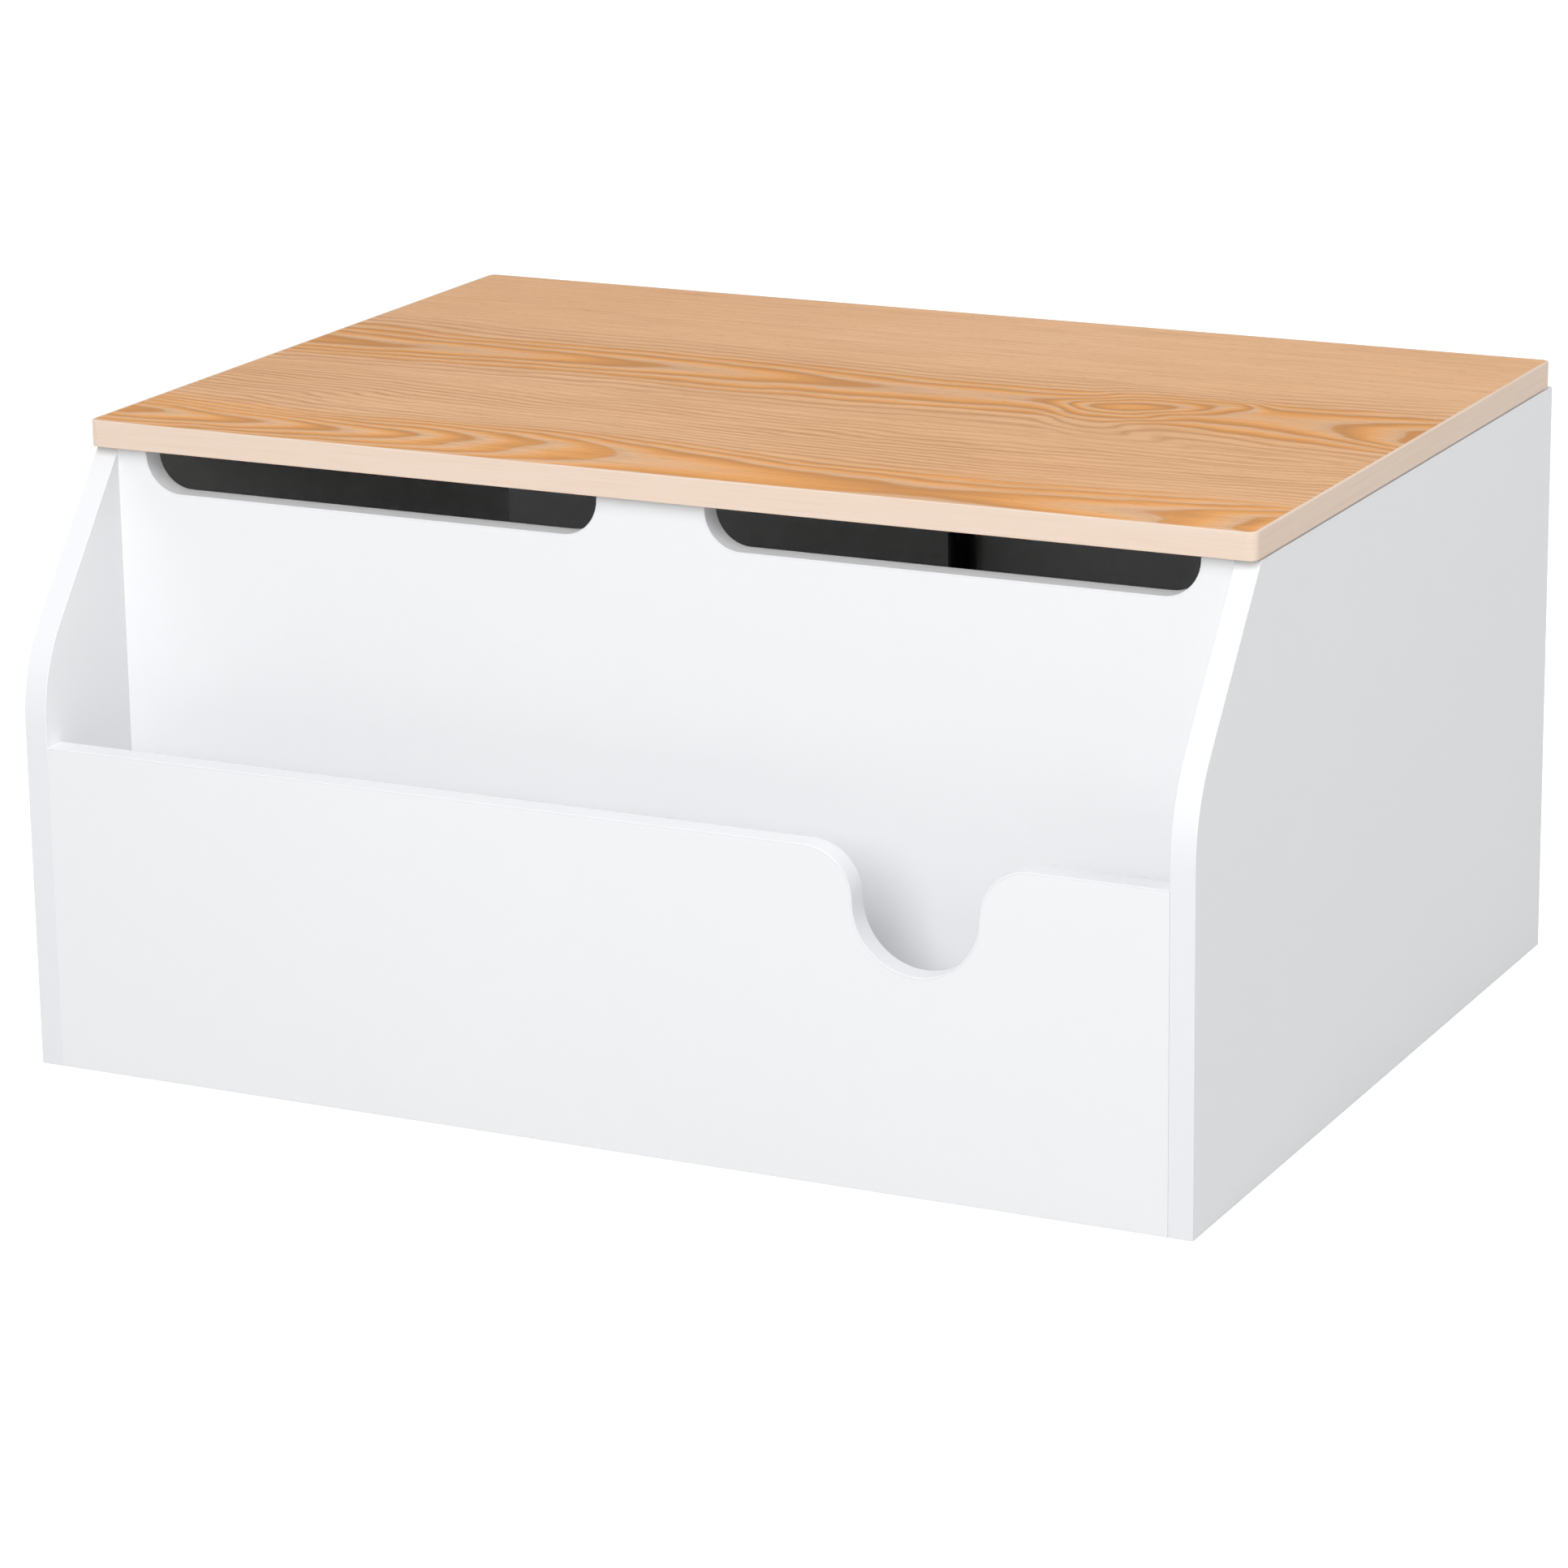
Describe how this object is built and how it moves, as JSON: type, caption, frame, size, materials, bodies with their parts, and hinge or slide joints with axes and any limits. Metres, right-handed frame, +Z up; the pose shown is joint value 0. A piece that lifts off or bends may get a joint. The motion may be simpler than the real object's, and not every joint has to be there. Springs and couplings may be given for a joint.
{
  "type": "toy box",
  "caption": "Low toy box with a book pocket in front, a round-bottomed hand notch, wide grips under the lid, and a hinged wood-grain lid held by a gas stay.",
  "frame": {"origin": "on the floor, at the centre of the whole object's footprint, hinge knuckles included", "axes": "+X towards the box's right seen from the front, +Y from front to back, +Z up"},
  "size_m": [0.6, 0.4756, 0.305],
  "materials": {
    "white_board": "white satin melamine on particle board",
    "white_edge_band": "white satin edge band",
    "lid_core": "raw particle board",
    "wood_grain_laminate": "satin laminate with warm straight and cathedral grain",
    "backing_laminate": "off-white satin backing laminate",
    "pale_edge_band": "pale beige satin edge band",
    "hinge_steel": "zinc-plated sheet steel",
    "screw_steel": "zinc-plated screws",
    "fitting_zinc": "die-cast zinc",
    "beech": "fluted beech",
    "black_enamel": "glossy black enamel",
    "chrome_rod": "ground and polished hard chrome",
    "black_nylon": "black glass-filled nylon",
    "guide_brass": "turned brass",
    "piston_alloy": "turned aluminium",
    "bumper_rubber": "soft translucent white"
  },
  "bodies": {
    "carcass": {"left_side_panel": "white_board", "right_side_panel": "white_board", "back_panel": "white_board", "bottom_panel": "white_board", "inner_front_panel": "white_board", "book_front_panel": "white_board", "left_side_edge_band": "white_edge_band", "right_side_edge_band": "white_edge_band", "inner_front_edge_band": "white_edge_band", "book_front_edge_band": "white_edge_band", "left_hinge_box_leaf": "hinge_steel", "left_hinge_pin": "hinge_steel", "right_hinge_box_leaf": "hinge_steel", "right_hinge_pin": "hinge_steel", "hinge_box_screws": "screw_steel", "stay_wall_bracket": "hinge_steel", "stay_wall_stud": "screw_steel", "stay_wall_screws": "screw_steel", "cam_bolts": "screw_steel", "cam_locks": "fitting_zinc", "wood_dowels": "beech", "base_screws": "screw_steel", "lid_bumpers": "bumper_rubber"},
    "lid": {"lid_board": "lid_core", "lid_top_laminate": "wood_grain_laminate", "lid_under_laminate": "backing_laminate", "lid_edge_band": "pale_edge_band", "left_hinge_lid_leaf": "hinge_steel", "right_hinge_lid_leaf": "hinge_steel", "hinge_lid_screws": "screw_steel", "stay_lid_bracket": "hinge_steel", "stay_lid_rivet": "screw_steel", "stay_lid_screws": "screw_steel"},
    "stay_barrel": {"stay_lower_socket": "black_nylon", "stay_tube": "black_enamel", "stay_rod_guide": "guide_brass"},
    "stay_plunger": {"stay_rod": "chrome_rod", "stay_piston": "piston_alloy", "stay_upper_socket": "black_nylon", "stay_lid_stud": "screw_steel"}
  },
  "joints": [
    {"name": "lid_hinge", "type": "hinge", "parent": "carcass", "child": "lid", "pos_m": [0, 0.23515, 0.2903], "axis": [-1, 0, 0], "range_deg": [0, 85]},
    {"name": "stay_swing", "type": "hinge", "parent": "carcass", "child": "stay_barrel", "pos_m": [-0.01, 0.20515, 0.15], "axis": [-1, 0, 0], "range_deg": [0, 2.3]},
    {"name": "rod_slide", "type": "slide", "parent": "stay_barrel", "child": "stay_plunger", "axis": [0, 0, 1], "range_m": [0, 0.0505]}
  ],
  "couplings": [
    {"joint": "stay_swing", "follows": "lid_hinge", "ratio": 0.024682},
    {"joint": "rod_slide", "follows": "lid_hinge", "m_per_rad": 0.033327}
  ]
}
